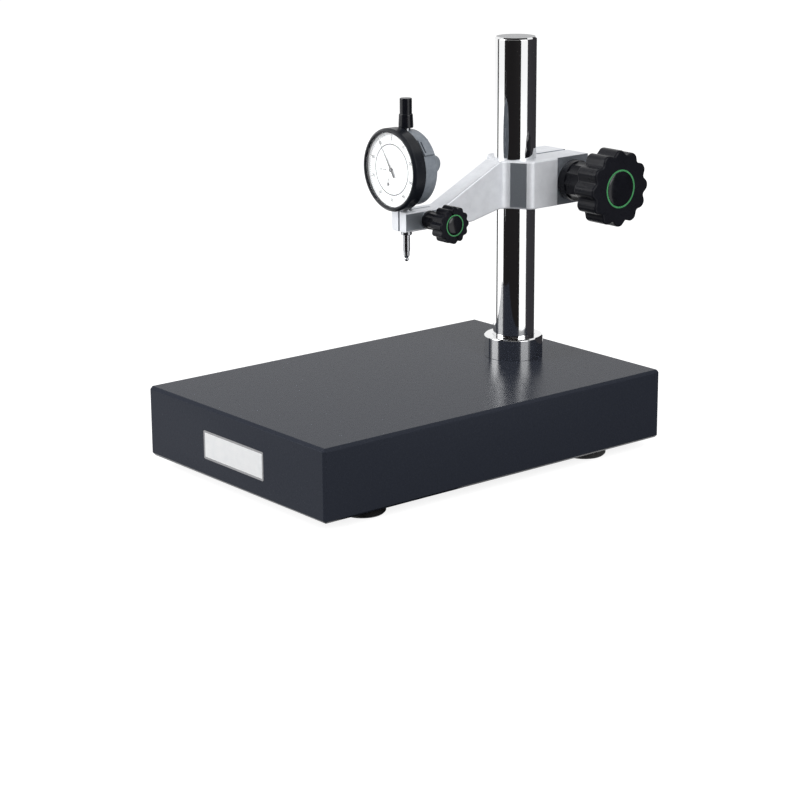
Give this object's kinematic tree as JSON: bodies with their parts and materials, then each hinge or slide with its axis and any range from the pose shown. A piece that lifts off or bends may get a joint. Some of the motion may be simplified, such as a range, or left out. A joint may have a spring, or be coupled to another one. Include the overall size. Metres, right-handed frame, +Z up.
{
  "type": "comparator stand",
  "caption": "Comparator stand: granite plate on rubber feet, round column, clamping arm with lobed knobs, and a dial gauge held over the plate.",
  "frame": {"origin": "middle of the surface that the rubber feet stand on, straight below the gauge spindle", "axes": "+Z up, the dial and the narrow end of the plate face -Y, both clamp knobs are on the +X side"},
  "size_m": [0.2, 0.311, 0.288],
  "materials": {
    "granite": "fine-ground black granite",
    "chromed_steel": "polished chrome",
    "black_steel": "blackened",
    "zinc_steel": "zinc plated",
    "blasted_aluminium": "bead blasted",
    "foot_rubber": "matte moulded",
    "brass": "turned",
    "knob_plastic": "satin moulded",
    "green_plastic": "satin moulded",
    "gloss_black_plastic": "gloss moulded",
    "grey_case": "fine textured enamel",
    "ground_steel": "ground",
    "white_dial": "matte white print",
    "bezel_black": "satin black",
    "crystal_glass": "clear",
    "hand_black": "matte black"
  },
  "bodies": {
    "base": {"granite_base": "granite", "column_ring": "chromed_steel", "foot_front_left": "foot_rubber", "foot_front_right": "foot_rubber", "foot_rear_left": "foot_rubber", "foot_rear_right": "foot_rubber", "foot_screws": "zinc_steel", "foot_inserts": "brass"},
    "column": {"column": "chromed_steel", "column_bolt": "black_steel", "column_washer": "zinc_steel"},
    "arm": {"arm": "blasted_aluminium", "column_clamp_washer": "zinc_steel", "gauge_clamp_washer": "zinc_steel"},
    "column_clamp_knob": {"column_knob": "knob_plastic", "column_knob_ring": "green_plastic", "column_knob_cap": "gloss_black_plastic", "column_clamp_screw": "zinc_steel"},
    "gauge_clamp_knob": {"gauge_knob": "knob_plastic", "gauge_knob_ring": "green_plastic", "gauge_knob_cap": "gloss_black_plastic", "gauge_clamp_screw": "zinc_steel"},
    "gauge": {"gauge_case": "grey_case", "gauge_back": "grey_case", "back_screws": "zinc_steel", "gauge_stem": "ground_steel", "top_bushing": "ground_steel", "movement_plate": "brass", "movement_bridge": "brass", "centre_cock": "brass", "inner_dial": "white_dial"},
    "bezel": {"bezel": "bezel_black", "crystal": "crystal_glass", "outer_dial": "white_dial"},
    "spindle": {"spindle": "ground_steel", "contact_point": "ground_steel", "lifting_cap": "gloss_black_plastic"},
    "counter": {"counter_wheel": "brass", "counter_pinion": "ground_steel", "counter_hand": "hand_black"},
    "pointer": {"centre_pinion": "ground_steel", "main_hand": "hand_black"}
  },
  "joints": [
    {"name": "arm_swing", "type": "hinge", "parent": "base", "child": "column", "pos_m": [0, 0.1, 0.058], "axis": [0, 0, 1], "continuous": true},
    {"name": "arm_height", "type": "slide", "parent": "column", "child": "arm", "axis": [0, 0, 1], "range_m": [-0.082, 0.085]},
    {"name": "column_knob_turn", "type": "hinge", "parent": "arm", "child": "column_clamp_knob", "pos_m": [0.0243, 0.134, 0.1855], "axis": [1, 0, 0], "range_deg": [0, 360]},
    {"name": "gauge_knob_turn", "type": "hinge", "parent": "arm", "child": "gauge_clamp_knob", "pos_m": [0.00885, 0.013, 0.17], "axis": [1, 0, 0], "range_deg": [0, 360]},
    {"name": "gauge_turn", "type": "hinge", "parent": "arm", "child": "gauge", "pos_m": [0, 0, 0.17], "axis": [0, 0, 1], "continuous": true},
    {"name": "bezel_turn", "type": "hinge", "parent": "gauge", "child": "bezel", "pos_m": [0, -0.01, 0.2065], "axis": [0, 1, 0], "continuous": true},
    {"name": "spindle_lift", "type": "slide", "parent": "gauge", "child": "spindle", "axis": [0, 0, 1], "range_m": [0, 0.01], "stiffness_N_per_m": 30, "springref_m": -0.02},
    {"name": "counter_turn", "type": "hinge", "parent": "gauge", "child": "counter", "pos_m": [-0.0036, 0, 0.19611], "axis": [0, -1, 0], "range_deg": [0, 361]},
    {"name": "pointer_turn", "type": "hinge", "parent": "gauge", "child": "pointer", "pos_m": [0, 0, 0.2065], "axis": [0, 1, 0], "range_deg": [0, 3601]}
  ],
  "couplings": [
    {"joint": "counter_turn", "follows": "spindle_lift", "rad_per_m": 628.32},
    {"joint": "pointer_turn", "follows": "spindle_lift", "rad_per_m": 6283.2}
  ]
}
